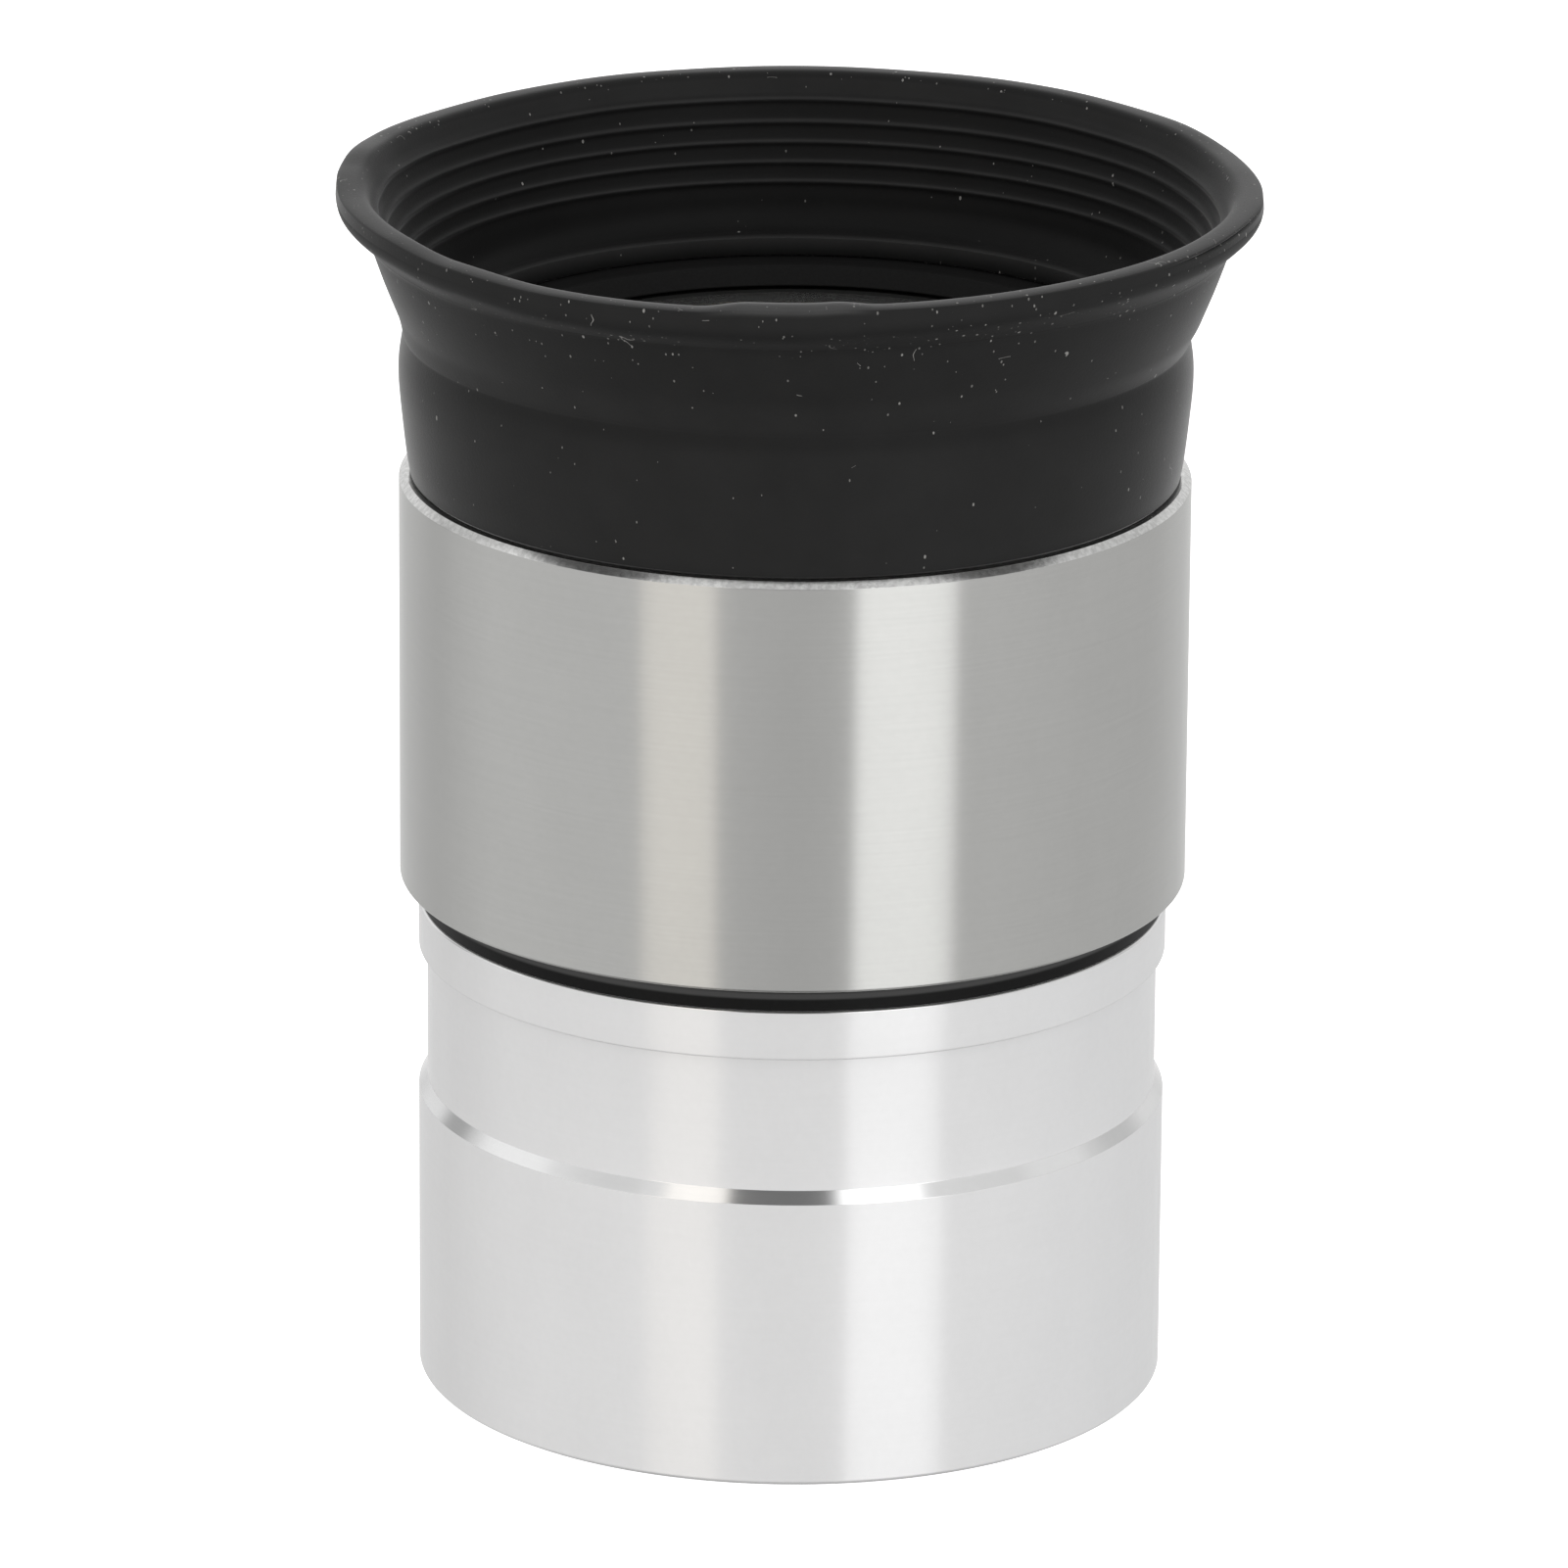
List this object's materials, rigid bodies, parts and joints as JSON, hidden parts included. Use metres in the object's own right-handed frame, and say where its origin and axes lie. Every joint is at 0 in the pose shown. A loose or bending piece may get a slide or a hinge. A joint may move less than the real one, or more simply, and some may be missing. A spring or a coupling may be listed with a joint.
{
  "type": "telescope eyepiece",
  "caption": "Round push-in telescope eyepiece: fold-down rubber eyecup, brushed steel body, seal ring, and a screw-off bright barrel with a safety undercut, with cemented lenses inside.",
  "frame": {"origin": "centre of the barrel's open lower end, on the optical axis", "axes": "+Z along the optical axis from the barrel towards the eye; X and Y across it"},
  "size_m": [0.0386, 0.0386, 0.052],
  "materials": {
    "barrel_metal": "fine turned satin with a bright-cut bevel",
    "body_steel": "brushed round the body",
    "eyecup_rubber": "matte moulded",
    "seal_rubber": "smooth satin",
    "black_anodised": "matte black anodised",
    "crown_glass": "polished",
    "flint_glass": "polished, with an anti-reflection coating"
  },
  "bodies": {
    "barrel": {"barrel": "barrel_metal", "field_stop": "black_anodised"},
    "seal": {"seal_ring": "seal_rubber"},
    "housing": {"lens_housing": "black_anodised", "body_sleeve": "body_steel", "eye_flint": "flint_glass", "eye_crown": "crown_glass", "spacer_ring": "black_anodised", "field_crown": "crown_glass", "field_flint": "flint_glass", "retaining_ring": "black_anodised"},
    "eyecup": {"eyecup_base": "eyecup_rubber", "eyecup_wall": "eyecup_rubber"},
    "rim": {"eyecup_rim": "eyecup_rubber"}
  },
  "joints": [
    {"name": "thread_lift", "type": "slide", "parent": "barrel", "child": "seal", "axis": [0, 0, 1], "range_m": [0, 0.003]},
    {"name": "housing_turn", "type": "hinge", "parent": "seal", "child": "housing", "pos_m": [0, 0, 0.021], "axis": [0, 0, 1], "range_deg": [0, 1440]},
    {"name": "eyecup_pull", "type": "slide", "parent": "housing", "child": "eyecup", "axis": [0, 0, 1], "range_m": [0, 0.012]},
    {"name": "eyecup_fold", "type": "slide", "parent": "eyecup", "child": "rim", "axis": [0, 0, -1], "range_m": [0, 0.012], "deforming": ["eyecup_wall"]}
  ],
  "couplings": [
    {"joint": "thread_lift", "follows": "housing_turn", "m_per_rad": 0.00011937}
  ]
}
